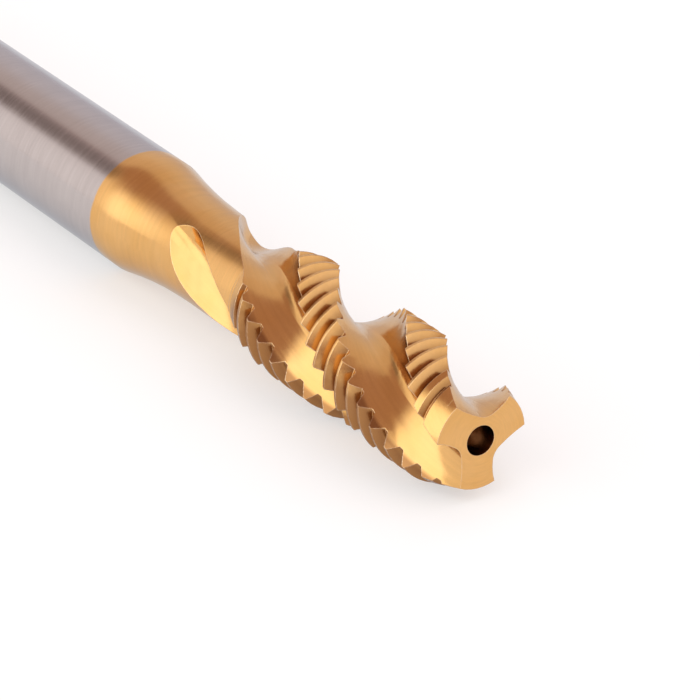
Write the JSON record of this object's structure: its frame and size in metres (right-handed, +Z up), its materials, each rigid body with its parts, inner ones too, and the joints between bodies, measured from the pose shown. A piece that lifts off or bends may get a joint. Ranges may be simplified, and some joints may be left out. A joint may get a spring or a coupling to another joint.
{
  "type": "thread tap",
  "caption": "Machine thread tap with right-hand spiral flutes, a tapered lead, a slim neck and a gold-coated cutting end on a plain round shank with a drive square.",
  "frame": {"origin": "centre of the flat rear end face, on the tool's axis", "axes": "+X along the axis towards the cutting tip, +Z up as the tool lies, +Y completes the right-handed frame; the drive square's flats face +Y, -Y, +Z and -Z"},
  "size_m": [0.09, 0.008, 0.008],
  "materials": {
    "tool_steel": "ground, with a thin gold titanium nitride coating from the tip to just behind the shoulder"
  },
  "bodies": {
    "root": {"tap": "tool_steel"}
  },
  "joints": []
}
